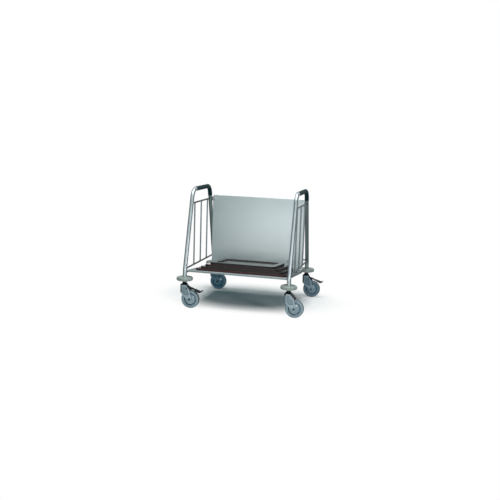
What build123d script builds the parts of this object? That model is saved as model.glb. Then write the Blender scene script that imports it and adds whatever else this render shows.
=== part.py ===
from build123d import *
from math import cos, radians, sin, tan
import os

os.makedirs("parts", exist_ok=True)

# A trolley that carries a pile of serving trays.
# Sizes are in millimetres. X runs along the trolley, Y from front to back, Z up.
# The origin is on the floor, under the middle of the trolley's whole outline.

# End frames: one bent tube at each side, narrower at the top than at the feet
tube_dia = 28
tube_wall = 1.5
leg_span = 730
leg_depth = 660
foot_straight = 72
knee_bend = 120
handle_height = 806
handle_depth = 374
handle_bend = 70
weld_gap = 0.1

# Grips: a sleeve over the top bar and the rear bend
grip_wall = 1.6
grip_gap = 0.1
grip_end_drop = 70

# Rails and rods that close the sides
rail_dia = 12
rod_dia = 10
upper_rail_drop = 95
lower_rail_rise = 8
rod_margin = 69
cross_bar_rise = 16

# Shelf and back panel, both folded from sheet
sheet = 1.5
sheet_bend = 3
side_gap = 2
shelf_rise = 2
shelf_slope = 5.4
shelf_flange = 14
shelf_side = 16
shelf_return = 12
shelf_rear_flange = 26
seam_gap = 0.3
panel_behind = 25.6
panel_drop = 70
panel_corner = 14
panel_hem = 12
panel_hem_depth = 5

# Fixings of the sheets
screw_dia = 6
screw_head_dia = 12
screw_head = 3.2
screw_gap = 0.1
screw_length = 11
screw_hole_depth = 12
clip_width = 26
bracket_width = 18
clip_height = 30
clip_thick = 3
stay_dia = 8
stay_inset = 110
stay_pad_dia = 22
stay_pad = 3
rivet_dia = 4
rivet_head_dia = 8
rivet_head = 1.6
rivet_margin = 29
rivets = 5

# Bumper rings round the feet
bumper_dia = 113
bumper_thick = 25
bumper_edge = 10
bumper_gap = 0.2

# Caster stems, held in the tubes by plugs
plug_flange_dia = 40
plug_flange = 4
plug_length = 46
plug_gap = 0.2
stem_rise = 25
spigot_dia = 12
spigot_gap = 0.1
spigot_length = 40
shoulder_dia = 23
pin_dia = 18
pin_gap = 0.1
lift_gap = 0.3
stem_head_dia = 26
stem_head = 6

# Casters: fork, wheel and axle
wheel_dia = 125
tread_width = 32
trail = 44
wheel_room = 28
crown_thick = 8
crown_length = 14
fork_wall = 6
fork_gap = 4
fork_edge = 8
fork_lead = 17
fork_tail = 42
fork_tail_drop = 30
fork_shoulder = 60
fork_foot = 13
fork_band = 10
fork_recess = 3.5
recess_low = 28
tyre_bore = 42
tyre_edge = 8
seat_gap = 0.1
disc_dia = 72
disc_half = 10
disc_crown = 5
groove_half = 4
seat_flange = 2
hub_dia = 32
hub_half = 17
bush_dia = 18
bush_end_gap = 0.3
axle_dia = 10
axle_gap = 0.1
bolt_head_across = 14
bolt_head = 5.5
nut_thick = 7
axle_proud = 2

# Black covers on the caster heads
cover_base = 3
cover_gap = 0.3
cover_neck_dia = 29
cover_foot_dia = 48
cover_cone = 10
cover_bore_gap = 0.6
neck_gap = 0.8
skirt_thick = 8
skirt_half = 15
skirt_drop = 47
skirt_short_drop = 6
tail_thick = 7
tail_gap = 1
tail_half = 20
tail_room = 3

# Brake pedals on two of the casters
pivot_x = 22
pivot_drop = 15
pivot_dia = 8
pivot_gap = 0.1
pivot_boss_dia = 18
pivot_boss_gap = 1
pivot_head_dia = 12
pivot_head = 1.5
pedal_half = 11
pedal_thick = 7
pedal_elbow_x = 30
pedal_elbow_rise = 9
pedal_heel_x = 104
pedal_heel_drop = 19
pedal_reach = 128
pedal_toe_rise = 8
pedal_pad_half = 18
pedal_pad_start = 78
pedal_pad_drop = 3

# Trays: each smaller than the one it stands on, with a skirt under a wide lip
tray_side_room = 29
tray_rear_room = 99
tray_height = 15
tray_wall = 2.5
tray_well = 8
tray_lip = 36
tray_flare = 20
tray_corner = 40
tray_edge = 1.2
tray_step_x = 30
tray_step_y = 10
tray_shift = 18
tray_setback = 22
tray_rest_gap = 0.3
tray_names = ("lowest", "second", "third", "top")

# Heights that build up from the floor
wheel_r = wheel_dia / 2
crown_low = wheel_dia + wheel_room
caster_height = crown_low + crown_thick
plug_low = caster_height + stem_rise
foot_height = plug_low + plug_flange
knee_height = foot_height + foot_straight
shelf_front_height = knee_height + shelf_rise
lower_rail_height = knee_height + lower_rail_rise
cross_bar_height = knee_height + cross_bar_rise
upper_rail_height = handle_height - upper_rail_drop
panel_height = handle_height - panel_drop
grip_end_height = handle_height - grip_end_drop
pivot_z = crown_low - pivot_drop
pedal_elbow_z = pivot_z + pedal_elbow_rise
pedal_heel_z = pivot_z - pedal_heel_drop

# Places worked out from the sizes above
tube_r = tube_dia / 2
overhang = pedal_reach + leg_span / 2
middle_x = (bumper_dia / 2 + leg_span / 2 - overhang) / 2
left_x = middle_x - leg_span / 2
right_x = middle_x + leg_span / 2
front_y = -leg_depth / 2
rear_y = leg_depth / 2
leg_lean = (leg_depth - handle_depth) / 2 / (handle_height - knee_height)
leg_angle = 90 - Vector(0, leg_lean, 1).get_angle(Vector(0, 1, 0))
slope = tan(radians(shelf_slope))
shelf_half = leg_span / 2 - tube_r - side_gap
fork_half = tread_width / 2 + fork_gap
fork_face = fork_half + fork_wall

corners = {
    "front_left": (left_x, front_y),
    "front_right": (right_x, front_y),
    "rear_left": (left_x, rear_y),
    "rear_right": (right_x, rear_y),
}
braked = ("front_left", "rear_right")


def leg_y(height):
    """Distance from the middle to a leg's axis at a height above the knee."""
    return leg_depth / 2 - leg_lean * (height - knee_height)


panel_y = leg_y(panel_height) + panel_behind
rod_spacing = leg_y(upper_rail_height) - rod_margin


def shelf_z(y):
    """Height of the shelf's top face, which falls towards the back."""
    return shelf_front_height - slope * (y - front_y)


def ground(x, y, height=0):
    """A level plane over a point of the floor."""
    return Plane(origin=(x, y, height), x_dir=(1, 0, 0), z_dir=(0, 0, 1))


def side_view(x, y):
    """An upright plane seen from the front: X across, Z up."""
    return Plane(origin=(x, y, 0), x_dir=(1, 0, 0), z_dir=(0, -1, 0))


def wheel_view(x, y):
    """An upright plane through a wheel's axle: radius across, Y up."""
    return Plane(origin=(x + trail, y, wheel_r), x_dir=(0, 0, 1), z_dir=(-1, 0, 0))


def axle_line(x, y):
    """The wheel's own axis."""
    return Axis((x + trail, y, wheel_r), (0, 1, 0))


def save(builder, name):
    """Label a finished piece and write it."""
    builder.part.label = name
    export_step(builder.part, f"parts/{name}.step")


def bar(start, end, dia, cut=None):
    """A round bar between two points, with its ends coped to what it is welded to."""
    run = Vector(*end) - Vector(*start)
    with BuildPart() as piece:
        with BuildSketch(Plane(origin=start, z_dir=run)):
            Circle(dia / 2)
        extrude(amount=run.length)
        for other in cut or []:
            add(other, mode=Mode.SUBTRACT)
    return piece


# End frames

def frame_line(x):
    """The axis of one end frame, from the front foot over the top to the rear foot."""
    half = handle_depth / 2
    with BuildLine(Plane.YZ.offset(x)) as line:
        FilletPolyline(
            (front_y, foot_height), (front_y, knee_height), (-half, handle_height),
            (half, handle_height), (rear_y, knee_height), (rear_y, foot_height),
            radius=[knee_bend, handle_bend, handle_bend, knee_bend],
        )
    return line.line


def frame_bar(x, radius):
    """A solid bar along the axis of an end frame."""
    with BuildPart() as piece:
        with BuildSketch(ground(x, front_y, foot_height)):
            Circle(radius)
        sweep(path=frame_line(x))
    return piece


def end_frame(x):
    """The bent tube itself."""
    with BuildPart() as tube:
        with BuildSketch(ground(x, front_y, foot_height)):
            Circle(tube_r)
            Circle(tube_r - tube_wall, mode=Mode.SUBTRACT)
        sweep(path=frame_line(x))
    return tube


def grip(x):
    """A soft sleeve from the end of the front bend to below the rear bend."""
    half = handle_depth / 2
    reach = handle_bend * tan(radians((90 - leg_angle) / 2))
    end_y = leg_y(grip_end_height)
    with BuildPart() as sleeve:
        with BuildLine(Plane.YZ.offset(x)) as line:
            FilletPolyline(
                (reach - half, handle_height), (half, handle_height), (end_y, grip_end_height),
                radius=handle_bend,
            )
        with BuildSketch(Plane(origin=line.line @ 0, z_dir=line.line % 0)):
            Circle(tube_r + grip_gap + grip_wall)
            Circle(tube_r + grip_gap, mode=Mode.SUBTRACT)
        sweep(path=line.line)
    return sleeve


outsides = {}
for name, x in (("left", left_x), ("right", right_x)):
    save(end_frame(x), f"end_frame_{name}")
    save(grip(x), f"grip_{name}")
    outside = frame_bar(x, tube_r + weld_gap).part

    rails = {}
    for level, height in (("upper", upper_rail_height), ("lower", lower_rail_height)):
        reach = leg_y(height)
        rail = bar((x, -reach, height), (x, reach, height), rail_dia, [outside])
        save(rail, f"{level}_rail_{name}")
        rails[level] = bar((x, -reach, height), (x, reach, height), rail_dia + 2 * weld_gap).part

    for place, y in (("front", -rod_spacing), ("middle", 0), ("rear", rod_spacing)):
        low = (x, y, lower_rail_height)
        high = (x, y, upper_rail_height)
        save(bar(low, high, rod_dia, rails.values()), f"rod_{name}_{place}")
    outsides[name] = outside

# Rear cross bar, behind the panel, from leg to leg
bar_y = leg_y(cross_bar_height)
cross_bar = bar(
    (left_x, bar_y, cross_bar_height), (right_x, bar_y, cross_bar_height),
    rail_dia, outsides.values(),
)
save(cross_bar, "rear_cross_bar")

# Back panel: one upright sheet with its top folded over towards the back
shelf_rear_y = panel_y + sheet + seam_gap + sheet
panel_bottom = shelf_z(shelf_rear_y) + sheet_bend + sheet
clip_y = panel_y + sheet + screw_gap
clip_z = panel_height - panel_corner - clip_height / 2
clip_screw_x = shelf_half - clip_width / 2
bracket_x = shelf_half + screw_gap
bracket_y = front_y + tube_r + bracket_width / 2
bracket_z = shelf_z(bracket_y) - shelf_side / 2 - sheet
stay_x = shelf_half - stay_inset
rivet_z = panel_bottom + shelf_rear_flange / 2
rivet_start = rivet_margin - shelf_half
rivet_pitch = -2 * rivet_start / (rivets - 1)


def back_view(y):
    """An upright plane facing backwards: X across, Z up."""
    return Plane(origin=(middle_x, y, 0), x_dir=(-1, 0, 0), z_dir=(0, 1, 0))


with BuildPart() as back_panel:
    with BuildSketch(Plane.YZ.offset(middle_x - shelf_half)):
        with BuildLine():
            FilletPolyline(
                (panel_y + sheet / 2, panel_bottom),
                (panel_y + sheet / 2, panel_height - sheet / 2),
                (panel_y + panel_hem_depth - sheet / 2, panel_height - sheet / 2),
                (panel_y + panel_hem_depth - sheet / 2, panel_height - panel_hem),
                radius=sheet,
            )
            offset(amount=sheet / 2, side=Side.BOTH)
        make_face()
    extrude(amount=2 * shelf_half)
    with BuildSketch(back_view(panel_y)):
        for side in (-1, 1):
            corner_at = (side * (shelf_half - panel_corner), panel_height - panel_corner)
            with Locations((side * shelf_half, panel_height)):
                Rectangle(2 * panel_corner, 2 * panel_corner)
            with Locations(corner_at):
                Circle(panel_corner, mode=Mode.SUBTRACT)
    extrude(amount=panel_hem_depth, mode=Mode.SUBTRACT)
    with BuildSketch(back_view(panel_y)):
        with Locations((clip_screw_x, clip_z), (-clip_screw_x, clip_z)):
            Circle(screw_dia / 2 + screw_gap)
        with Locations((stay_x, cross_bar_height), (-stay_x, cross_bar_height)):
            Circle(screw_dia / 2 + screw_gap)
        for count in range(rivets):
            with Locations((rivet_start + rivet_pitch * count, rivet_z)):
                Circle(rivet_dia / 2 + screw_gap)
    extrude(amount=sheet, mode=Mode.SUBTRACT)
save(back_panel, "back_panel")

# Shelf: one sheet, its front and sides folded down and its rear edge folded up
drop_z = shelf_front_height - shelf_flange
side_start = front_y + sheet_bend
side_end = shelf_rear_y - sheet_bend

with BuildPart() as shelf:
    with BuildSketch(Plane.YZ.offset(middle_x - shelf_half)):
        with BuildLine():
            FilletPolyline(
                (front_y + shelf_return, drop_z + sheet / 2),
                (front_y + sheet / 2, drop_z + sheet / 2),
                (front_y + sheet / 2, shelf_z(front_y) - sheet / 2),
                (shelf_rear_y - sheet / 2, shelf_z(shelf_rear_y) - sheet / 2),
                (shelf_rear_y - sheet / 2, panel_bottom + shelf_rear_flange),
                radius=sheet_bend,
            )
            offset(amount=sheet / 2, side=Side.BOTH)
        make_face()
    extrude(amount=2 * shelf_half)
    for edge_x, away in ((middle_x - shelf_half, 1), (middle_x + shelf_half, -1)):
        with BuildSketch(Plane.YZ.offset(edge_x)):
            with BuildLine():
                Polyline(
                    (side_start, shelf_z(side_start) - sheet / 2),
                    (side_end, shelf_z(side_end) - sheet / 2),
                    (side_end, shelf_z(side_end) - shelf_side),
                    (side_start, shelf_z(side_start) - shelf_side),
                    close=True,
                )
            make_face()
        extrude(amount=away * sheet)
    with BuildSketch(back_view(panel_y + sheet)):
        for count in range(rivets):
            with Locations((rivet_start + rivet_pitch * count, rivet_z)):
                Circle(rivet_dia / 2 + screw_gap)
    extrude(amount=shelf_rear_y - panel_y, mode=Mode.SUBTRACT)
    with BuildSketch(Plane.YZ.offset(middle_x - shelf_half)):
        with Locations((bracket_y, bracket_z)):
            Circle(screw_dia / 2 + screw_gap)
    extrude(amount=2 * shelf_half, mode=Mode.SUBTRACT)
save(shelf, "shelf")

# Brackets on the front legs, outside the shelf's side folds
with BuildPart() as shelf_brackets:
    for side, name in ((-1, "left"), (1, "right")):
        with BuildSketch(Plane.YZ.offset(middle_x + side * bracket_x)):
            with Locations((bracket_y, bracket_z)):
                Rectangle(bracket_width, bracket_width)
                Circle(screw_dia / 2 + screw_gap, mode=Mode.SUBTRACT)
        extrude(amount=side * clip_thick)
        with BuildSketch(Plane.YZ.offset(middle_x + side * bracket_x)):
            with Locations((bracket_y - bracket_width / 2, bracket_z)):
                Rectangle(bracket_width / 2, bracket_width)
        extrude(amount=side * (tube_r / 2 + side_gap))
    for outside in outsides.values():
        add(outside, mode=Mode.SUBTRACT)
save(shelf_brackets, "shelf_brackets")

# Clips behind the panel's top corners, each with a foot on a rear leg
with BuildPart() as panel_clips:
    for side in (-1, 1):
        inner_x = side * (shelf_half - clip_width)
        outer_x = side * (leg_span / 2 + tube_r / 2)
        foot_x = side * (leg_span / 2 - tube_r / 2)
        with BuildSketch(Plane.XZ.offset(-clip_y)):
            with Locations((middle_x + (inner_x + outer_x) / 2, clip_z)):
                Rectangle(abs(outer_x - inner_x), clip_height)
            with Locations((middle_x + side * clip_screw_x, clip_z)):
                Circle(screw_dia / 2 + screw_gap, mode=Mode.SUBTRACT)
        extrude(amount=-clip_thick)
        with BuildSketch(Plane.XZ.offset(-clip_y)):
            with Locations((middle_x + (foot_x + outer_x) / 2, clip_z)):
                Rectangle(abs(outer_x - foot_x), clip_height)
        extrude(amount=clip_y - leg_y(clip_z))
    for outside in outsides.values():
        add(outside, mode=Mode.SUBTRACT)
save(panel_clips, "panel_clips")

# Stays from the cross bar to the back of the panel, each ending in a round pad
stay_y = panel_y + sheet + screw_gap
bar_outside = bar(
    (left_x, bar_y, cross_bar_height), (right_x, bar_y, cross_bar_height),
    rail_dia + 2 * weld_gap,
).part

with BuildPart() as panel_stays:
    for side in (-1, 1):
        with BuildSketch(Plane.XZ.offset(-stay_y)):
            with Locations((middle_x + side * stay_x, cross_bar_height)):
                Circle(stay_pad_dia / 2)
        extrude(amount=-stay_pad)
        with BuildSketch(Plane.XZ.offset(-stay_y)):
            with Locations((middle_x + side * stay_x, cross_bar_height)):
                Circle(stay_dia / 2)
        extrude(amount=stay_y - bar_y)
        with BuildSketch(Plane.XZ.offset(-stay_y)):
            with Locations((middle_x + side * stay_x, cross_bar_height)):
                Circle(screw_dia / 2 + screw_gap)
        extrude(amount=-screw_hole_depth, mode=Mode.SUBTRACT)
    add(bar_outside, mode=Mode.SUBTRACT)
save(panel_stays, "panel_stays")


def screw(x, y, z, inward):
    """A domed screw; the point given is the middle of its head's underside."""
    seat = Plane(origin=(x, y, z), z_dir=inward)
    with BuildPart() as piece:
        with BuildSketch(seat):
            Circle(screw_head_dia / 2)
        extrude(amount=-screw_head)
        rim = piece.edges().filter_by(GeomType.CIRCLE).sort_by_distance(Vector(x, y, z))[-1]
        fillet(rim, screw_head / 2)
        with BuildSketch(seat):
            Circle(screw_dia / 2)
        extrude(amount=screw_length)
    return piece.part


with BuildPart() as frame_screws:
    for side in (-1, 1):
        clip_at = middle_x + side * clip_screw_x
        stay_at = middle_x + side * stay_x
        flange_at = middle_x + side * (shelf_half - sheet)
        add(screw(clip_at, panel_y, clip_z, (0, 1, 0)))
        add(screw(stay_at, panel_y, cross_bar_height, (0, 1, 0)))
        add(screw(flange_at, bracket_y, bracket_z, (side, 0, 0)))
save(frame_screws, "frame_screws")

# Rivets through the panel and the shelf's rear fold
rivet_back = shelf_rear_y + seam_gap

with BuildPart() as panel_rivets:
    for count in range(rivets):
        place = (rivet_start + rivet_pitch * count, rivet_z)
        with BuildSketch(back_view(panel_y)):
            with Locations(place):
                Circle(rivet_dia / 2)
        extrude(amount=rivet_back - panel_y)
        with BuildSketch(back_view(panel_y - rivet_head)):
            with Locations(place):
                Circle(rivet_head_dia / 2)
        extrude(amount=rivet_head)
        with BuildSketch(back_view(rivet_back)):
            with Locations(place):
                Circle(rivet_head_dia / 2)
        extrude(amount=rivet_head)
save(panel_rivets, "panel_rivets")

# Bumper rings, slipped over the feet of the frames
for name, (x, y) in corners.items():
    with BuildPart() as bumper:
        with BuildSketch(ground(x, y, foot_height)):
            Circle(bumper_dia / 2)
        extrude(amount=bumper_thick)
        fillet(bumper.edges().filter_by(GeomType.CIRCLE), bumper_edge)
        with BuildSketch(ground(x, y, foot_height)):
            Circle(tube_r + bumper_gap)
        extrude(amount=bumper_thick, mode=Mode.SUBTRACT)
    save(bumper, f"bumper_{name}")

# Plugs in the ends of the tubes, with a flange under each bumper
spigot_top = plug_low + spigot_length

with BuildPart() as stem_plugs:
    for x, y in corners.values():
        with BuildSketch(ground(x, y, plug_low)):
            Circle(plug_flange_dia / 2)
        extrude(amount=plug_flange)
        with BuildSketch(ground(x, y, foot_height)):
            Circle(tube_r - tube_wall - plug_gap)
        extrude(amount=plug_length)
        with BuildSketch(ground(x, y, plug_low)):
            Circle(spigot_dia / 2 + spigot_gap)
        extrude(amount=spigot_length + spigot_gap, mode=Mode.SUBTRACT)
save(stem_plugs, "stem_plugs")

# Swivel stems: spigot, shoulder, the pin the fork turns on, and the pin's head
stem_steps = (
    (crown_low - lift_gap - stem_head, crown_low - lift_gap, stem_head_dia),
    (crown_low - lift_gap, caster_height + lift_gap, pin_dia),
    (caster_height + lift_gap, plug_low, shoulder_dia),
    (plug_low, spigot_top, spigot_dia),
)

with BuildPart() as swivel_stems:
    for x, y in corners.values():
        for low, high, dia in stem_steps:
            with BuildSketch(ground(x, y, low)):
                Circle(dia / 2)
            extrude(amount=high - low)
save(swivel_stems, "swivel_stems")


def side_plate():
    """Outline of one side of a fork, seen from the front, about the stem's axis."""
    with BuildSketch() as outline:
        with Locations((trail, wheel_r)):
            Circle(fork_foot)
        with BuildLine():
            Polyline(
                (-fork_lead, caster_height - fork_shoulder), (-fork_lead, caster_height),
                (crown_length, caster_height), (fork_tail, caster_height - fork_tail_drop),
                (trail, wheel_r), close=True,
            )
        make_face()
        make_hull()
    return outline.sketch


def recess():
    """Outline of the hollow in a fork's side, inside its raised edges."""
    outline = side_plate()
    room = crown_low - wheel_r - recess_low
    with BuildSketch() as hollow:
        add(outline)
        offset(amount=-fork_band, mode=Mode.REPLACE)
        with Locations((trail / 2, crown_low - room / 2)):
            Rectangle(2 * wheel_dia, room, mode=Mode.INTERSECT)
        with Locations((pivot_x, pivot_z)):
            Circle(pivot_boss_dia / 2, mode=Mode.SUBTRACT)
    return hollow.sketch


def fork(x, y):
    """Crown and two side plates in one moulding, with raised edges."""
    outline = side_plate()
    hollow = recess()
    with BuildPart() as piece:
        with BuildSketch(side_view(x, y + fork_face)):
            add(outline)
        extrude(amount=2 * fork_face)
        upright = piece.edges().filter_by(Axis.Z).group_by(Axis.X)[0]
        fillet(upright, fork_edge)
        with BuildSketch(side_view(x, y + fork_half)):
            with Locations((0, crown_low / 2)):
                Rectangle(4 * wheel_dia, crown_low)
            with Locations((crown_length + wheel_dia, caster_height / 2)):
                Rectangle(2 * wheel_dia, caster_height)
        extrude(amount=2 * fork_half, mode=Mode.SUBTRACT)
        for face_y, away in ((y - fork_face, -1), (y + fork_face, 1)):
            with BuildSketch(side_view(x, face_y)):
                add(hollow)
            extrude(amount=away * fork_recess, mode=Mode.SUBTRACT)
        with BuildSketch(ground(x, y, crown_low)):
            Circle(pin_dia / 2 + pin_gap)
        extrude(amount=crown_thick, mode=Mode.SUBTRACT)
        with BuildSketch(side_view(x, y + 2 * fork_face)):
            with Locations((trail, wheel_r)):
                Circle(axle_dia / 2 + axle_gap)
        extrude(amount=4 * fork_face, mode=Mode.SUBTRACT)
    return piece


def cover(x, y, has_brake):
    """The black cap on a fork: a neck round the stem, a base on the crown and a skirt."""
    low = caster_height + cover_gap
    top = low + cover_base
    front = fork_lead + cover_gap + skirt_thick
    if has_brake:
        skirt_low = crown_low - skirt_drop
    else:
        skirt_low = crown_low - skirt_short_drop
    with BuildPart() as piece:
        with BuildSketch(ground(x + (crown_length - fork_lead) / 2, y, low)):
            Rectangle(crown_length + fork_lead, 2 * fork_face)
        extrude(amount=cover_base)
        upright = piece.edges().filter_by(Axis.Z).group_by(Axis.X)[0]
        fillet(upright, fork_edge)
        with BuildSketch(ground(x - front / 2, y, low)):
            Rectangle(front, 2 * skirt_half)
        extrude(amount=cover_base)
        with BuildSketch(ground(x - front + skirt_thick / 2, y, skirt_low)):
            Rectangle(skirt_thick, 2 * skirt_half)
        extrude(amount=top - skirt_low)
        with BuildSketch(ground(x, y, top)):
            Circle(cover_foot_dia / 2)
        with BuildSketch(ground(x, y, top + cover_cone)):
            Circle(cover_neck_dia / 2)
        loft()
        with BuildSketch(ground(x, y, top + cover_cone)):
            Circle(cover_neck_dia / 2)
        extrude(amount=plug_low - neck_gap - top - cover_cone)
        if not has_brake:
            fall = fork_tail_drop / (fork_tail - crown_length)
            ridge = crown_length + tail_thick
            inner = fork_tail + tail_gap
            outer = inner + tail_thick
            tail_low = wheel_dia + tail_room
            with BuildSketch(side_view(x, y + tail_half)):
                with BuildLine():
                    Polyline(
                        (0, low), (0, top), (ridge, top), (outer, top - fall * (outer - ridge)),
                        (outer, tail_low), (inner, tail_low),
                        (inner, low - fall * (inner - crown_length)), (crown_length, low),
                        close=True,
                    )
                make_face()
            extrude(amount=2 * tail_half)
        with BuildSketch(ground(x, y, caster_height)):
            Circle(shoulder_dia / 2 + cover_bore_gap)
        extrude(amount=plug_low - caster_height, mode=Mode.SUBTRACT)
    return piece


def axle(x, y):
    """Hexagon bolt and nut through the fork's feet."""
    near = fork_face + seat_gap
    with BuildPart() as piece:
        with BuildSketch(side_view(x, y + near)):
            with Locations((trail, wheel_r)):
                Circle(axle_dia / 2)
        extrude(amount=2 * near + nut_thick + axle_proud)
        with BuildSketch(side_view(x, y + near + bolt_head)):
            with Locations((trail, wheel_r)):
                RegularPolygon(bolt_head_across / 2, 6, major_radius=False)
        extrude(amount=bolt_head)
    with BuildPart() as nut:
        with BuildSketch(side_view(x, y - near)):
            with Locations((trail, wheel_r)):
                RegularPolygon(bolt_head_across / 2, 6, major_radius=False)
                Circle(axle_dia / 2 + axle_gap, mode=Mode.SUBTRACT)
        extrude(amount=nut_thick)
    with BuildPart() as both:
        add(piece)
        add(nut)
    return both


def rim(x, y):
    """The wheel's moulded centre: hub, dished disc, groove and the seat of the tyre."""
    outer = tyre_bore - seat_gap
    bore = bush_dia / 2 + seat_gap
    half = tread_width / 2
    with BuildPart() as piece:
        with BuildSketch(wheel_view(x, y)):
            with BuildLine():
                Polyline(
                    (bore, -hub_half), (hub_dia / 2, -hub_half),
                    (hub_dia / 2, -disc_half - disc_crown), (disc_dia / 2, -disc_half),
                    (disc_dia / 2, -groove_half), (outer - seat_flange, -groove_half),
                    (outer - seat_flange, -half + seat_flange), (outer, -half + seat_flange),
                    (outer, half - seat_flange), (outer - seat_flange, half - seat_flange),
                    (outer - seat_flange, groove_half), (disc_dia / 2, groove_half),
                    (disc_dia / 2, disc_half), (hub_dia / 2, disc_half + disc_crown),
                    (hub_dia / 2, hub_half), (bore, hub_half), close=True,
                )
            make_face()
        revolve(axis=axle_line(x, y))
    return piece


def tyre(x, y):
    """The grey rubber tread, rounded at both shoulders."""
    with BuildPart() as piece:
        with BuildSketch(wheel_view(x, y)) as section:
            with Locations(((wheel_r + tyre_bore) / 2, 0)):
                Rectangle(wheel_r - tyre_bore, tread_width)
            fillet(section.vertices().group_by(Axis.Z)[-1], tyre_edge)
        revolve(axis=axle_line(x, y))
    return piece


def bush(x, y):
    """The sleeve the wheel turns with, running on the axle."""
    with BuildPart() as piece:
        with BuildSketch(side_view(x, y + fork_half - bush_end_gap)):
            with Locations((trail, wheel_r)):
                Circle(bush_dia / 2)
                Circle(axle_dia / 2 + axle_gap, mode=Mode.SUBTRACT)
        extrude(amount=2 * (fork_half - bush_end_gap))
    return piece


def pivot_holes(x, y, radius):
    """A long cross bar that cuts the pivot's holes."""
    with BuildPart() as piece:
        with BuildSketch(side_view(x, y + 2 * fork_face)):
            with Locations((pivot_x, pivot_z)):
                Circle(radius)
        extrude(amount=4 * fork_face)
    return piece.part


def pedal(x, y):
    """The foot lever: a boss on the pivot, an arm over the tread and a wide toe pad."""
    with BuildPart() as piece:
        with BuildSketch(side_view(x, y + pedal_half)):
            with BuildLine():
                Polyline(
                    (pivot_x, pivot_z), (pedal_elbow_x, pedal_elbow_z),
                    (pedal_heel_x, pedal_heel_z),
                )
                offset(amount=pedal_thick / 2, side=Side.BOTH)
            make_face()
        extrude(amount=2 * pedal_half)
        boss_half = fork_half - pivot_boss_gap
        with BuildSketch(side_view(x, y + boss_half)):
            with Locations((pivot_x, pivot_z)):
                Circle(pivot_boss_dia / 2)
        extrude(amount=2 * boss_half)
        with BuildSketch(side_view(x, y + pedal_pad_half)):
            with BuildLine():
                lean = (pedal_elbow_z - pedal_heel_z) / (pedal_heel_x - pedal_elbow_x)
                pad_z = pedal_heel_z + lean * (pedal_heel_x - pedal_pad_start)
                half = pedal_thick / 2
                toe = pedal_reach - half
                toe_z = pedal_heel_z + pedal_toe_rise
                Polyline(
                    (pedal_pad_start, pad_z + half), (pedal_heel_x + half, pedal_heel_z + half),
                    (toe, pedal_heel_z + half), (pedal_reach, toe_z + half),
                    (pedal_reach, toe_z - half / 2), (toe, pedal_heel_z - half / 2),
                    (pedal_heel_x + 2 * half, pedal_heel_z - half - pedal_pad_drop),
                    (pedal_heel_x, pedal_heel_z - half - pedal_pad_drop),
                    (pedal_pad_start, pad_z - half), close=True,
                )
            make_face()
        extrude(amount=2 * pedal_pad_half)
        add(pivot_holes(x, y, pivot_dia / 2 + pivot_gap), mode=Mode.SUBTRACT)
    return piece


def pivot_pin(x, y):
    """The pedal's pin, headed at both ends outside the fork."""
    near = fork_face + seat_gap
    with BuildPart() as piece:
        with BuildSketch(side_view(x, y + near)):
            with Locations((pivot_x, pivot_z)):
                Circle(pivot_dia / 2)
        extrude(amount=2 * near)
        for face_y, away in ((y - near, 1), (y + near, -1)):
            with BuildSketch(side_view(x, face_y)):
                with Locations((pivot_x, pivot_z)):
                    Circle(pivot_head_dia / 2)
            extrude(amount=away * pivot_head)
    return piece


for name, (x, y) in corners.items():
    has_brake = name in braked
    with BuildPart() as yoke:
        add(fork(x, y))
        if has_brake:
            add(pivot_holes(x, y, pivot_dia / 2 + pivot_gap), mode=Mode.SUBTRACT)
    save(yoke, f"fork_{name}")
    save(cover(x, y, has_brake), f"cover_{name}")
    save(axle(x, y), f"axle_{name}")
    save(rim(x, y), f"rim_{name}")
    save(tyre(x, y), f"tyre_{name}")
    save(bush(x, y), f"bush_{name}")
    if has_brake:
        save(pedal(x, y), f"brake_pedal_{name}")
        save(pivot_pin(x, y), f"brake_pin_{name}")

# Trays, piled on the sloping shelf
tray_width = 2 * (shelf_half - tray_side_room)
tray_depth = panel_y - front_y - tray_setback - tray_rear_room
deck_y = front_y + tray_setback + tray_depth / 2
deck = Plane(
    origin=(middle_x + tray_shift, deck_y, shelf_z(deck_y)),
    x_dir=(1, 0, 0), z_dir=(0, sin(radians(shelf_slope)), cos(radians(shelf_slope))),
)

for count, name in enumerate(tray_names):
    width = tray_width - 2 * tray_step_x * count
    depth = tray_depth - 2 * tray_step_y * count
    base = tray_rest_gap + (tray_height + tray_rest_gap) * count
    well_width = width - 2 * tray_lip
    well_depth = depth - 2 * tray_lip
    well_corner = tray_corner / 2
    rise = tray_height - tray_wall
    with BuildPart() as tray:
        with BuildSketch(deck.offset(base)):
            RectangleRounded(width, depth, tray_corner)
        extrude(amount=tray_height)
        fillet(tray.faces().sort_by(Axis(deck.origin, deck.z_dir))[-1].edges(), tray_edge)
        with BuildSketch(deck.offset(base)):
            RectangleRounded(width - 2 * tray_wall, depth - 2 * tray_wall, tray_corner - tray_wall)
        extrude(amount=rise, mode=Mode.SUBTRACT)
        with BuildSketch(deck.offset(base + rise)):
            RectangleRounded(well_width + 2 * tray_wall, well_depth + 2 * tray_wall, well_corner)
        extrude(amount=-tray_well, taper=tray_flare)
        with BuildSketch(deck.offset(base + tray_height)):
            RectangleRounded(well_width, well_depth, well_corner)
        extrude(amount=-tray_well, taper=tray_flare, mode=Mode.SUBTRACT)
    save(tray, f"tray_{name}")
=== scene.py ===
# %% [markdown]
# # A tray carrying trolley
# Two bent tube frames stand on four casters and carry a sloping shelf with a pile of
# trays on it, held in by a back panel and by rods at the sides. The shapes come from the
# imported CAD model, so this lesson gives them their finishes, adds the weld beads that a
# drawing leaves out, and sets the light and the camera.

# %% Load the frame and keep its box
import bpy
from math import cos, pi, radians, sin
from mathutils import Matrix, Vector


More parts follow.
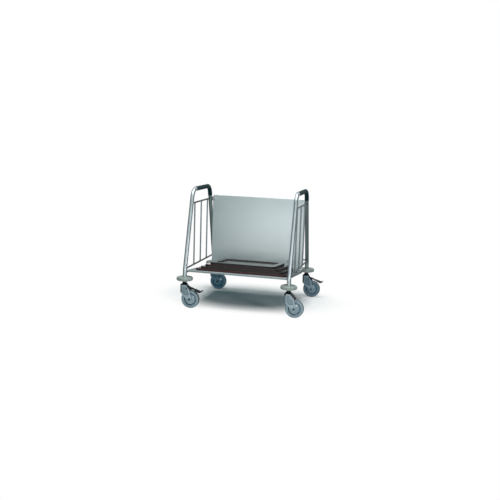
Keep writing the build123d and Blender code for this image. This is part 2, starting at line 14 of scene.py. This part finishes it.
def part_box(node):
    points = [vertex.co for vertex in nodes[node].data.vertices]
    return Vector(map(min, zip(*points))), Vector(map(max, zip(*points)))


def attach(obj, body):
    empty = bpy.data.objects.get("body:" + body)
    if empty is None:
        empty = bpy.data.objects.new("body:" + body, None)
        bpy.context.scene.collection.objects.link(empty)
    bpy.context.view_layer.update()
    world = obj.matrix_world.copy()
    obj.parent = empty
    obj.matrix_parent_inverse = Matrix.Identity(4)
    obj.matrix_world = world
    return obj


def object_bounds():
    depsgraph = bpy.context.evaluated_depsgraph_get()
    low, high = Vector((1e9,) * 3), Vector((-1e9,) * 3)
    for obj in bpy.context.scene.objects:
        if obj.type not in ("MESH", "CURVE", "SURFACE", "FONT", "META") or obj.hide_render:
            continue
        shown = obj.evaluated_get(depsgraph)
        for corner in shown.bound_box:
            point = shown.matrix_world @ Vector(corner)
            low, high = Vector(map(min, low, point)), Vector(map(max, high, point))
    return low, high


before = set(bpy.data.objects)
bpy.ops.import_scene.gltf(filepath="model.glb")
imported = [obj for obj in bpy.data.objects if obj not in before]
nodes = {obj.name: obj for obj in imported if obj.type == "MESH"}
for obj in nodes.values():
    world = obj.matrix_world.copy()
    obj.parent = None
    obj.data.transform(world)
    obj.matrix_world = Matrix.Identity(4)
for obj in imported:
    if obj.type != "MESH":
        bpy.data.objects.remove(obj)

box_before = [list(corner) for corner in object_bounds()]
MM = 0.001
print("nodes:", len(nodes), "CAD box:", box_before)

# %% [markdown]
# ## Colours and nodes
# A colour picked from a chart is an sRGB value, but the renderer counts in linear light,
# so one function turns hex strings into what Blender wants. A second one adds a shader
# node, sets it up and joins its inputs, which keeps every finish below down to a few lines.
# The grain of a finish is noise, with its size given in millimetres. A mix node's colour
# sockets share their names with others, so they are found by number.

# %% Helpers for colours and shader nodes
EVEN = (1, 1, 1)
MIX_FIRST, MIX_SECOND, MIX_RESULT = 6, 7, 2


def linear(hex_colour):
    """sRGB hex string to a linear colour with alpha."""
    parts = [int(hex_colour[i:i + 2], 16) / 255 for i in (1, 3, 5)]
    return [c / 12.92 if c <= 0.04045 else ((c + 0.055) / 1.055) ** 2.4 for c in parts] + [1.0]


def add_node(tree, kind, inputs, **settings):
    """One shader node. An input is a value, or the output socket of another node."""
    node = tree.nodes.new(kind)
    for name, value in settings.items():
        setattr(node, name, value)
    for name, value in inputs.items():
        if isinstance(value, bpy.types.NodeSocket):
            tree.links.new(value, node.inputs[name])
        else:
            node.inputs[name].default_value = value
    return node


def start_material(name, base, metallic, roughness):
    """A material with a principled shader, set to its plain values."""
    material = bpy.data.materials.new(name)
    material.use_nodes = True
    tree = material.node_tree
    shader = tree.nodes["Principled BSDF"]
    shader.inputs["Base Color"].default_value = linear(base)
    shader.inputs["Metallic"].default_value = metallic
    shader.inputs["Roughness"].default_value = roughness
    return material, tree, shader


def object_position(tree):
    """Where the surface is, in metres in the trolley's own frame."""
    return add_node(tree, "ShaderNodeTexCoord", {}).outputs["Object"]


def noise(tree, position, stretch, grain_mm, detail=2.0):
    """Noise whose grains are grain_mm wide, drawn out by stretch along X, Y and Z."""
    drawn = add_node(
        tree, "ShaderNodeMapping",
        {"Vector": position, "Scale": [1 / length for length in stretch]},
    )
    return add_node(
        tree, "ShaderNodeTexNoise",
        {"Vector": drawn.outputs["Vector"], "Scale": 1 / (grain_mm * MM), "Detail": detail},
    ).outputs["Fac"]


def spread(tree, value, low, high):
    """Noise from 0.3 to 0.7 spread over low to high."""
    return add_node(
        tree, "ShaderNodeMapRange",
        {"Value": value, "From Min": 0.3, "From Max": 0.7, "To Min": low, "To Max": high},
    ).outputs["Result"]


def ramp(tree, value, start, end, strength=1.0, smooth=False):
    """0 where value is at start or before it, rising to strength at end."""
    return add_node(
        tree, "ShaderNodeMapRange",
        {"Value": value, "From Min": start, "From Max": end, "To Min": 0.0, "To Max": strength},
        interpolation_type="SMOOTHSTEP" if smooth else "LINEAR",
    ).outputs["Result"]


def maths(tree, operation, first, second=0.0):
    """One sum on two values."""
    return add_node(
        tree, "ShaderNodeMath", {0: first, 1: second}, operation=operation,
    ).outputs["Value"]


def vector_maths(tree, operation, first, second=(0, 0, 0), result="Vector"):
    """One sum on two vectors."""
    return add_node(
        tree, "ShaderNodeVectorMath", {0: first, 1: second}, operation=operation,
    ).outputs[result]


def part_of(tree, vector, axis):
    """The X, Y or Z of a vector."""
    return add_node(tree, "ShaderNodeSeparateXYZ", {"Vector": vector}).outputs[axis]


def elliptical_reach(tree, position, middle, reach):
    """How far a point is from middle, 1 where it is reach away along X, Y or Z."""
    away = vector_maths(tree, "SUBTRACT", position, middle)
    return vector_maths(tree, "LENGTH", vector_maths(tree, "DIVIDE", away, reach), result="Value")


def mix_colour(tree, factor, first, second):
    """Colour between first and second, each a hex string or an output socket."""
    node = add_node(tree, "ShaderNodeMix", {"Factor": factor}, data_type="RGBA")
    for index, value in ((MIX_FIRST, first), (MIX_SECOND, second)):
        if isinstance(value, bpy.types.NodeSocket):
            tree.links.new(value, node.inputs[index])
        else:
            node.inputs[index].default_value = linear(value)
    return node.outputs[MIX_RESULT]


def bump(tree, shader, height, depth_mm):
    """Raises the surface by depth_mm where height is 1."""
    node = add_node(
        tree, "ShaderNodeBump",
        {"Height": height, "Distance": depth_mm * MM, "Strength": 1.0},
    )
    tree.links.new(node.outputs["Normal"], shader.inputs["Normal"])


def paint(material, *names):
    """Gives every slot of the named nodes this material."""
    for name in names:
        slots = nodes[name].data.materials
        if not slots:
            slots.append(material)
        for index in range(len(slots)):
            slots[index] = material


# %% [markdown]
# ## Stainless tube and rod
# The frames are drawn stainless tube that has been belt polished to a satin shine. The
# belt leaves hair-fine lines along the tube. They are far too fine to show at their real
# width, so they are drawn 0.6 mm wide and 36 mm long. The rear legs have a painted shade
# that makes them darker than the front ones, and the thin rails and rods are given
# darker colours.

# %% Satin tube, with the grain along one axis
UPRIGHT, LEVEL, ACROSS = 2, 1, 0
belt_line_mm, belt_line_stretch = 0.6, 60
rear_shade_starts, rear_shade_ends = 110 * MM, 200 * MM


def satin_tube(name, along, base, cloud, rear=None):
    """Polished tube whose grain runs along one axis; it can have a painted shade that darkens it
    at the rear.
    """
    material, tree, shader = start_material(name, base, 1.0, 0.24)
    position = object_position(tree)
    stretch = list(EVEN)
    stretch[along] = belt_line_stretch
    lines = noise(tree, position, stretch, belt_line_mm)
    smears = noise(tree, position, (1, 1, 2), 45, 3.0)
    tone = mix_colour(tree, spread(tree, smears, 0.0, 1.0), base, cloud)
    # Painted shade: towards the rear the tone is mixed into the darker rear colour.
    if rear:
        behind = ramp(tree, part_of(tree, position, "Y"), rear_shade_starts, rear_shade_ends, smooth=True)
        tone = mix_colour(tree, behind, tone, rear)
    tree.links.new(tone, shader.inputs["Base Color"])
    rough = maths(tree, "ADD", spread(tree, lines, 0.4, 0.48), spread(tree, smears, -0.03, 0.05))
    tree.links.new(rough, shader.inputs["Roughness"])
    bump(tree, shader, lines, 0.004)
    return material


# The rear colour is a painted shade that darkens the rear legs.
frame_tube = satin_tube(
    "drawn_stainless_tube_belt_polished", UPRIGHT, "#b3bdc1", "#c4cccd", rear="#8b9998",
)
rod_steel = satin_tube("drawn_stainless_rod_upright", UPRIGHT, "#7d878c", "#8d9598")
rail_steel = satin_tube("drawn_stainless_rod_level", LEVEL, "#5f686c", "#70787b")
cross_steel = satin_tube("drawn_stainless_rod_across", ACROSS, "#7d878c", "#8d9598")
sides = ("left", "right")
places = ("front", "middle", "rear")
levels = ("upper", "lower")
for side in sides:
    paint(frame_tube, f"end_frame_{side}")
    paint(rod_steel, *(f"rod_{side}_{place}" for place in places))
    paint(rail_steel, *(f"{level}_rail_{side}" for level in levels))
paint(rod_steel, "swivel_stems")
paint(rail_steel, "panel_stays")
paint(cross_steel, "rear_cross_bar")

# %% [markdown]
# ## Weld beads
# Rails and rods are joined by a bead of weld round each end. A bead is a small ring with
# the ripples of the torch in it, and the heat has left it duller and browner than the legs.
# The rods are 10 mm thick and the rails 12 mm, and a bead sits just outside that. The
# rails end at leaning legs, so their beads lean too.

# %% Beads round the ends of rails and rods
bead_steel, tree, shader = start_material("stainless_weld_bead", "#7b7a76", 1.0, 0.4)
heat = noise(tree, object_position(tree), EVEN, 3.0)
tone = mix_colour(tree, spread(tree, heat, 0.0, 1.0), "#6d6860", "#868889")
tree.links.new(tone, shader.inputs["Base Color"])
tree.links.new(spread(tree, heat, 0.34, 0.46), shader.inputs["Roughness"])
bead_turns, bead_sides = 40, 8
bead_ripples, ripple_share = 10, 0.12


def weld(name, place, axis, radius_mm, bead_mm):
    """A rippled ring of weld round a bar; place is its middle and axis the bar's."""
    points = []
    for turn in range(bead_turns):
        angle = 2 * pi * turn / bead_turns
        swell = bead_mm * (1 + ripple_share * sin(bead_ripples * angle))
        for side in range(bead_sides):
            across = 2 * pi * side / bead_sides
            reach = radius_mm + swell * cos(across)
            point = Vector((reach * cos(angle), reach * sin(angle), swell * sin(across)))
            points.append(point * MM)
    faces = []
    for turn in range(bead_turns):
        here, after = turn * bead_sides, (turn + 1) % bead_turns * bead_sides
        for side in range(bead_sides):
            beyond = (side + 1) % bead_sides
            faces.append((here + side, after + side, after + beyond, here + beyond))
    mesh = bpy.data.meshes.new(name)
    mesh.from_pydata(points, [], faces)
    mesh.shade_smooth()
    mesh.materials.append(bead_steel)
    bead = bpy.data.objects.new(name, mesh)
    bpy.context.collection.objects.link(bead)
    turned = Vector(axis).to_track_quat("Z", "Y").to_matrix().to_4x4()
    bead.matrix_world = Matrix.Translation(place) @ turned
    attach(bead, "frame")


rod_ring = {"radius_mm": 5.2, "bead_mm": 0.9}
rail_ring = {"radius_mm": 6.2, "bead_mm": 1.2}
rod_inset, rail_inset = 1.8 * MM, 2 * MM
leg_lean = 0.263
for side in sides:
    for place in places:
        rod = f"rod_{side}_{place}"
        low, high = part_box(rod)
        x, y = (low.x + high.x) / 2, (low.y + high.y) / 2
        weld(f"weld_{rod}_low", (x, y, low.z + rod_inset), (0, 0, 1), **rod_ring)
        weld(f"weld_{rod}_high", (x, y, high.z - rod_inset), (0, 0, 1), **rod_ring)
    for level in levels:
        rail = f"{level}_rail_{side}"
        low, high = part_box(rail)
        x, z = (low.x + high.x) / 2, (low.z + high.z) / 2
        weld(f"weld_{rail}_front", (x, low.y + rail_inset, z), (0, 1, -leg_lean), **rail_ring)
        weld(f"weld_{rail}_rear", (x, high.y - rail_inset, z), (0, 1, leg_lean), **rail_ring)

# %% [markdown]
# ## Stainless sheet
# The shelf and the panel are cut from sheet with a ground finish: long scratches one way,
# here from side to side. It mirrors only broad light and dark, as a soft grey with a
# cloudy tone where hands have wiped it. The middle of the panel has a painted highlight
# that makes it brighter than its edges, and the shelf below is worn duller and darker.

# %% Ground sheet
painted_light_middle = (0.12, 0.25, 0.42)
painted_light_reach = (0.62, 1.0, 0.42)


def ground_sheet(name, base, cloud, painted_light=None):
    """Sheet steel with its grain along X, a cloudy tone and perhaps a painted highlight in the
    middle.
    """
    material, tree, shader = start_material(name, base, 0.85, 0.55)
    position = object_position(tree)
    scratches = noise(tree, position, (90, 1, 1), 0.7)
    clouds = noise(tree, position, (1.6, 1, 1), 70, 3.0)
    tone = mix_colour(tree, spread(tree, clouds, 0.0, 1.0), base, cloud)
    # Painted highlight: the middle of the sheet is mixed towards a brighter colour.
    if painted_light:
        reach = elliptical_reach(tree, position, painted_light_middle, painted_light_reach)
        painted_light_share = ramp(tree, reach, 1.0, 0.2, smooth=True)
        tone = mix_colour(tree, painted_light_share, tone, painted_light)
    tree.links.new(tone, shader.inputs["Base Color"])
    rough = maths(
        tree, "ADD", spread(tree, scratches, 0.48, 0.62), spread(tree, clouds, -0.04, 0.05),
    )
    tree.links.new(rough, shader.inputs["Roughness"])
    bump(tree, shader, scratches, 0.012)
    return material


panel_steel = ground_sheet(
    "ground_stainless_sheet_painted_bright_middle", "#bbc6c7", "#c2cccd", painted_light="#dde6e6",
)
shelf_steel = ground_sheet("ground_stainless_sheet_worn", "#8c979a", "#99a4a5")
paint(panel_steel, "back_panel")
paint(shelf_steel, "shelf", "shelf_brackets", "panel_clips")

# %% [markdown]
# ## Screws, bolts and rivets
# The screws and rivets of the sheets are bright zinc plated, cold headed steel. The axle
# bolts and the pedals' pins, down in the dirt, are blackened instead.

# %% Plated and blackened steel
def headed_steel(name, base, metallic, low, high):
    """Small cold headed steel parts, with roughness from low to high."""
    material, tree, shader = start_material(name, base, metallic, (low + high) / 2)
    fine = noise(tree, object_position(tree), EVEN, 1.5)
    tree.links.new(spread(tree, fine, low, high), shader.inputs["Roughness"])
    bump(tree, shader, fine, 0.02)
    return material


casters = ("front_left", "front_right", "rear_left", "rear_right")
braked = ("front_left", "rear_right")
plated = headed_steel("zinc_plated_cold_headed_steel", "#c5c9ca", 1.0, 0.24, 0.38)
blackened = headed_steel("blackened_cold_headed_steel", "#46535a", 0.8, 0.36, 0.5)
paint(plated, "frame_screws", "panel_rivets")
paint(blackened, *(f"axle_{c}" for c in casters), *(f"brake_pin_{c}" for c in braked))

# %% [markdown]
# ## Moulded and dipped parts
# Everything soft or moulded differs mostly in how rough it is: the dipped sleeve is dull,
# and the rubber rings and the caster's nylon are half glossy. Each has a fine grain from
# its mould, and a tone that wanders a little, so that no face is one flat colour.

# %% A moulded finish
patch_mm = 28
roughness_play = 0.06


def moulded(name, base, shade, roughness, grain_mm, depth_mm, gloss=0.5):
    """Plastic or rubber with a mould grain and a slightly uneven tone."""
    material, tree, shader = start_material(name, base, 0.0, roughness)
    shader.inputs["Specular IOR Level"].default_value = gloss
    position = object_position(tree)
    grain = noise(tree, position, EVEN, grain_mm)
    patches = noise(tree, position, EVEN, patch_mm, 3.0)
    tone = mix_colour(tree, spread(tree, patches, 0.0, 1.0), shade, base)
    tree.links.new(tone, shader.inputs["Base Color"])
    rough = spread(tree, grain, roughness - roughness_play, roughness + roughness_play)
    tree.links.new(rough, shader.inputs["Roughness"])
    bump(tree, shader, grain, depth_mm)
    return material


grip_sleeve = moulded(
    "dipped_soft_vinyl_sleeve", "#0c2f35", "#08262b",
    roughness=0.65, grain_mm=1.2, depth_mm=0.05, gloss=0.12,
)
bumper_rubber = moulded(
    "moulded_grey_rubber", "#8f9a94", "#838e89",
    roughness=0.45, grain_mm=1.6, depth_mm=0.05,
)
bush_nylon = moulded(
    "moulded_pale_grey_blue_nylon_bush", "#93a9b4", "#889ea9",
    roughness=0.3, grain_mm=1.4, depth_mm=0.02,
)
black_nylon = moulded(
    "moulded_black_nylon", "#13191b", "#0e1315",
    roughness=0.45, grain_mm=1.2, depth_mm=0.04, gloss=0.3,
)
paint(grip_sleeve, *(f"grip_{side}" for side in sides))
paint(bumper_rubber, *(f"bumper_{c}" for c in casters))
paint(bush_nylon, *(f"bush_{c}" for c in casters))
paint(black_nylon, "stem_plugs", *(f"cover_{c}" for c in casters))
paint(black_nylon, *(f"brake_pedal_{c}" for c in braked))

# %% [markdown]
# ## Forks
# The forks are moulded in grey-blue nylon. The hollow of their sides and the space between
# the plates get a painted shade, so a point is darker when it lies behind the raised edge.
# That is told by how far it is from the middle of its own fork. The rear forks are painted
# darker than the front ones as shade, and the left one in a teal shade.

# %% Nylon forks
low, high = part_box("fork_front_left")
fork_middle, fork_face = abs(low.y + high.y) / 2, (high.y - low.y) / 2
recess_shade_starts, recess_shade_full = fork_face - 0.5 * MM, fork_face - 3.4 * MM


def nylon_fork(name, shade, pale, recess_shade_colour):
    """Half glossy nylon with painted shade behind the fork's raised edge."""
    material, tree, shader = start_material(name, pale, 0.0, 0.36)
    position = object_position(tree)
    from_centre = maths(tree, "ABSOLUTE", part_of(tree, position, "Y"))
    from_fork = maths(tree, "ABSOLUTE", maths(tree, "SUBTRACT", from_centre, fork_middle))
    # Painted shade: darker colour where a point lies behind the fork's raised edge.
    painted_recess_shade = ramp(tree, from_fork, recess_shade_starts, recess_shade_full)
    grain = noise(tree, position, EVEN, 1.4)
    patches = noise(tree, position, EVEN, patch_mm, 3.0)
    clean = mix_colour(tree, spread(tree, patches, 0.0, 1.0), shade, pale)
    tree.links.new(mix_colour(tree, painted_recess_shade, clean, recess_shade_colour), shader.inputs["Base Color"])
    tree.links.new(spread(tree, grain, 0.3, 0.42), shader.inputs["Roughness"])
    bump(tree, shader, grain, 0.03)
    return material


front_fork = nylon_fork("moulded_grey_blue_nylon_fork", "#99a9b1", "#a3b2b9", "#7d8e97")
# The rear forks' darker and teal colours are a painted shade.
painted_shade_teal_fork = nylon_fork("moulded_nylon_fork_painted_teal_shade", "#577b8c", "#5e8293", "#476778")
painted_shade_dark_fork = nylon_fork("moulded_nylon_fork_painted_dark_shade", "#7b929d", "#839aa5", "#647a86")
paint(front_fork, "fork_front_left", "fork_front_right")
paint(painted_shade_teal_fork, "fork_rear_left")
paint(painted_shade_dark_fork, "fork_rear_right")

# %% [markdown]
# ## Wheels
# The wheel's centre is the same nylon, a little bluer, and its tread is grey rubber that
# leaves no marks. Painted shade darkens the groove round the disc, and dirt with painted
# shade darkens the edge of the part that rolls. The distance from the wheel's own axle
# tells these places, so each wheel has its own copy. Like the forks, the rear wheels are
# painted darker as shade, the left one in a teal shade.

# %% Wheel centres and treads
tread_radius = 62.5 * MM
dirt_and_shade_starts, dirt_and_shade_full = tread_radius * 0.94, tread_radius * 0.99
groove_start, groove_end = 35.8 * MM, 40.2 * MM


def from_axle(tree, position, axle):
    """How far a point of the wheel is from its axle."""
    arm = vector_maths(tree, "SUBTRACT", position, axle)
    flat = vector_maths(tree, "MULTIPLY", arm, (1, 0, 1))
    return vector_maths(tree, "LENGTH", flat, result="Value")


def wheel_centre(name, axle, shade, pale):
    """Pale nylon with painted shade in the groove round the disc."""
    material, tree, shader = start_material(name, pale, 0.0, 0.26)
    position = object_position(tree)
    reach = from_axle(tree, position, axle)
    past = maths(tree, "GREATER_THAN", reach, groove_start)
    within = maths(tree, "LESS_THAN", reach, groove_end)
    painted_groove_shade = maths(tree, "MULTIPLY", past, within)
    patches = noise(tree, position, EVEN, 20, 3.0)
    clean = mix_colour(tree, spread(tree, patches, 0.0, 1.0), shade, pale)
    # Painted shade in the groove round the disc.
    tree.links.new(mix_colour(tree, painted_groove_shade, clean, "#3f4f58"), shader.inputs["Base Color"])
    grain = noise(tree, position, EVEN, 1.4)
    tree.links.new(spread(tree, grain, 0.1, 0.18), shader.inputs["Roughness"])
    bump(tree, shader, grain, 0.02)
    return material


def tread(name, axle, shade, pale):
    """Rubber that is darker at its rolling edge, from dirt and painted shade."""
    material, tree, shader = start_material(name, pale, 0.0, 0.5)
    position = object_position(tree)
    # Dirt and painted shade darken the tread's outer edge.
    dirt_and_edge_shade = ramp(tree, from_axle(tree, position, axle), dirt_and_shade_starts, dirt_and_shade_full)
    scuffs = noise(tree, position, EVEN, 6, 3.0)
    clean = mix_colour(tree, spread(tree, scuffs, 0.0, 1.0), shade, pale)
    tree.links.new(mix_colour(tree, dirt_and_edge_shade, clean, "#57666d"), shader.inputs["Base Color"])
    tree.links.new(spread(tree, scuffs, 0.42, 0.58), shader.inputs["Roughness"])
    bump(tree, shader, scuffs, 0.06)
    return material


# The rear wheels' darker and teal tones are a painted shade.
centre_tones_rear_shaded = {
    "front_left": ("#8398a4", "#92a6b0"),
    "front_right": ("#7f949f", "#8da1ab"),
    "rear_left": ("#4f7d92", "#5a899d"),
    "rear_right": ("#6a8392", "#77909d"),
}
tread_tones_rear_shaded = {
    "front_left": ("#7e929c", "#8c9fa8"),
    "front_right": ("#7e929c", "#8c9fa8"),
    "rear_left": ("#4e798c", "#588598"),
    "rear_right": ("#59717d", "#637b87"),
}
for c in casters:
    low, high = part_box(f"tyre_{c}")
    axle = [(a + b) / 2 for a, b in zip(low, high)]
    paint(wheel_centre(f"moulded_pale_grey_blue_nylon_{c}", axle, *centre_tones_rear_shaded[c]), f"rim_{c}")
    paint(tread(f"moulded_grey_rubber_tread_{c}", axle, *tread_tones_rear_shaded[c]), f"tyre_{c}")

# %% [markdown]
# ## Trays
# The trays are pressed from laminate, near black with a brown or wine cast, and as glossy
# on top as a table. Seen so flat they mirror the panel behind them, which is what draws the
# pale strips on their floors and rims. Their top faces are also painted greyer, a painted
# sheen that adds to those strips, and fine scuffs vary the gloss. The sides came straight
# from the press and are matt.

# %% Laminate trays
side_facing, top_facing = 0.4, 0.9


def laminate(name, wood, warm):
    """Dark laminate with a faint grain along X, glossy, scuffed and with a painted grey sheen on
    top, matt at the sides.
    """
    material, tree, shader = start_material(name, wood, 0.0, 0.12)
    position = object_position(tree)
    grain = noise(tree, position, (14, 1, 1), 2.5, 3.0)
    scuffs = noise(tree, position, (3, 1, 1), 14, 4.0)
    normal = add_node(tree, "ShaderNodeTexCoord", {}).outputs["Normal"]
    facing_up = part_of(tree, normal, "Z")
    # Painted sheen: faces that look up are mixed towards grey.
    painted_top_sheen = ramp(tree, facing_up, side_facing, top_facing, strength=0.5)
    matt = ramp(tree, facing_up, top_facing, side_facing, strength=0.6)
    tone = mix_colour(tree, spread(tree, grain, 0.0, 1.0), wood, warm)
    tree.links.new(mix_colour(tree, painted_top_sheen, tone, "#55534f"), shader.inputs["Base Color"])
    rough = maths(tree, "ADD", spread(tree, scuffs, 0.08, 0.16), matt)
    tree.links.new(rough, shader.inputs["Roughness"])
    bump(tree, shader, grain, 0.008)
    return material


tray_tones = {
    "lowest": ("red_brown", "#330c14", "#391416"),
    "second": ("black_brown", "#120f0c", "#1b1612"),
    "third": ("wine_brown", "#1d0a0e", "#261215"),
    "top": ("near_black", "#0d0809", "#150e0f"),
}
for tray, (tone, wood, warm) in tray_tones.items():
    paint(laminate(f"pressed_laminate_{tone}", wood, warm), f"tray_{tray}")

# %% [markdown]
# ## Light
# The main light is one large soft box above and a little in front, so the shelf throws its
# shadow straight down and slightly back, with soft edges. A tall narrow box at the front
# right draws the bright line down each tube. A weak wide box stands low in front and opens
# up the wheels and the edge of the shelf.

# %% Lamps
centre = (Vector(box_before[0]) + Vector(box_before[1])) / 2


def soft_box(name, place, size, watts):
    """A white rectangular lamp that faces the trolley, hidden from the camera."""
    lamp = bpy.data.lights.new(name, "AREA")
    lamp.shape = "RECTANGLE"
    lamp.size, lamp.size_y = size
    lamp.energy = watts
    holder = bpy.data.objects.new(name, lamp)
    bpy.context.collection.objects.link(holder)
    holder.location = place
    holder.rotation_euler = (centre - Vector(place)).to_track_quat("-Z", "Y").to_euler()
    holder.visible_camera = False


soft_box("overhead_box", place=(0.0, -0.5, 3.1), size=(2.2, 1.5), watts=88)
soft_box("front_box", place=(0.3, -2.6, 0.42), size=(1.2, 0.5), watts=10)
soft_box("right_box", place=(2.2, -2.0, 0.64), size=(0.5, 1.0), watts=19)

# %% [markdown]
# ## Room
# What metal looks like is mostly what it mirrors. Straight behind the trolley stands the
# white backdrop. To either side hang dark cloths, which draw the dark edges of the tubes,
# and the camera's side of the room is a pale grey. The background itself is white. The
# little light that comes from the rest of the room is teal, and it tints the shadow.

# %% Room and backdrop
backdrop_edge = (0.75, 0.97)
cloth_edge = (-0.45, -0.85)


def room_colour(tree, direction):
    """What a mirror shows of the room in a level direction: backdrop, cloths or room."""
    level = vector_maths(tree, "MULTIPLY", direction, (1, 1, 0))
    depth = part_of(tree, vector_maths(tree, "NORMALIZE", level), "Y")
    behind = ramp(tree, depth, *backdrop_edge, smooth=True)
    before = ramp(tree, depth, *cloth_edge, smooth=True)
    return mix_colour(tree, behind, mix_colour(tree, before, "#5f6b6e", "#c6cdcf"), "#ffffff")


def seen_colour(tree, direction):
    """White for the camera and through glass, what the room shows for a mirror, and
    a value that is 1 for all three."""
    rays = add_node(tree, "ShaderNodeLightPath", {}).outputs
    straight = maths(tree, "MAXIMUM", rays["Is Camera Ray"], rays["Is Transmission Ray"])
    seen = maths(tree, "MAXIMUM", straight, rays["Is Glossy Ray"])
    return mix_colour(tree, straight, room_colour(tree, direction), "#ffffff"), seen


def either_of(tree, factor, first, second):
    """The first shader where factor is 0 and the second where it is 1."""
    node = add_node(tree, "ShaderNodeMixShader", {0: factor})
    tree.links.new(first.outputs[0], node.inputs[1])
    tree.links.new(second.outputs[0], node.inputs[2])
    return node.outputs[0]


world = bpy.data.worlds.new("studio_room")
bpy.context.scene.world = world
world.use_nodes = True
tree = world.node_tree
tree.nodes.clear()
direction = add_node(tree, "ShaderNodeTexCoord", {}).outputs["Generated"]
backdrop, seen = seen_colour(tree, direction)
fill = add_node(tree, "ShaderNodeBackground", {"Color": linear("#5a9fa8"), "Strength": 0.23})
shown = add_node(tree, "ShaderNodeBackground", {"Color": backdrop, "Strength": 1.0})
add_node(tree, "ShaderNodeOutputWorld", {"Surface": either_of(tree, seen, fill, shown)})

# %% [markdown]
# ## Floor
# A white floor takes the shadow. Close to the trolley it is plain matt card, and further
# out it runs up into the backdrop, so that no horizon line shows. The card is kept small
# and set a little to the left, so the glowing white also paints out the outer part of the
# shadow and much of the shadow round the wheels, a painted light.

# %% White floor that runs into the backdrop
floor_half = 6.0
card_middle, card_reach = (-0.06, 0.14, 0.0), (0.68, 0.48, 1.0)
card_plain, card_gone = 0.45, 1.15
corners = [(x * floor_half, y * floor_half, 0) for x, y in ((-1, -1), (1, -1), (1, 1), (-1, 1))]
mesh = bpy.data.meshes.new("floor")
mesh.from_pydata(corners, [], [(0, 1, 2, 3)])
floor = bpy.data.objects.new("floor", mesh)
bpy.context.collection.objects.link(floor)
floor_card = bpy.data.materials.new("matt_white_card")
floor_card.use_nodes = True
tree = floor_card.node_tree
tree.nodes.clear()
position = object_position(tree)
reach = elliptical_reach(tree, position, card_middle, card_reach)
# Painted light: where the card fades into the white glow, the shadow is lightened.
painted_white_share = ramp(tree, reach, card_plain, card_gone, smooth=True)
backdrop, seen = seen_colour(tree, position)
card = add_node(tree, "ShaderNodeBsdfDiffuse", {"Color": linear("#fafbfb")})
glow = add_node(tree, "ShaderNodeEmission", {"Color": backdrop, "Strength": 1.0})
surface = either_of(tree, maths(tree, "MULTIPLY", painted_white_share, seen), card, glow)
add_node(tree, "ShaderNodeOutputMaterial", {"Surface": surface})
mesh.materials.append(floor_card)

# %% [markdown]
# ## Camera
# The camera stands a little to the right and above the handles, about five metres away,
# and is rolled by a degree or two, as the picture was. Its place and lens were worked out
# from where the wheels, feet, rails and panel fall in the picture.

# %% Camera
image_side = 500
focal_pixels = 738.27
camera_place = Vector((1.2554, -5.0402, 1.2434))
yaw, pitch, roll = radians(-14.293), radians(9.453), radians(1.845)

ahead = Vector((sin(yaw) * cos(pitch), cos(yaw) * cos(pitch), -sin(pitch)))
level_right = Vector((cos(yaw), -sin(yaw), 0.0))
level_up = level_right.cross(ahead)
right = cos(roll) * level_right + sin(roll) * level_up
up = -sin(roll) * level_right + cos(roll) * level_up

camera_data = bpy.data.cameras.new("camera")
camera_data.sensor_width = 36.0
camera_data.lens = focal_pixels / image_side * camera_data.sensor_width
camera = bpy.data.objects.new("camera", camera_data)
bpy.context.collection.objects.link(camera)
turn = Matrix((right, up, -ahead)).transposed()
camera.matrix_world = Matrix.Translation(camera_place) @ turn.to_4x4()
camera_data.clip_end = 50
bpy.context.scene.camera = camera
print("camera:", camera_place, "lens:", round(camera_data.lens, 2))

# %% [markdown]
# ## Last settings
# The plain view transform shows a colour about as it is written.

# %% View settings
bpy.context.scene.view_settings.view_transform = "Standard"
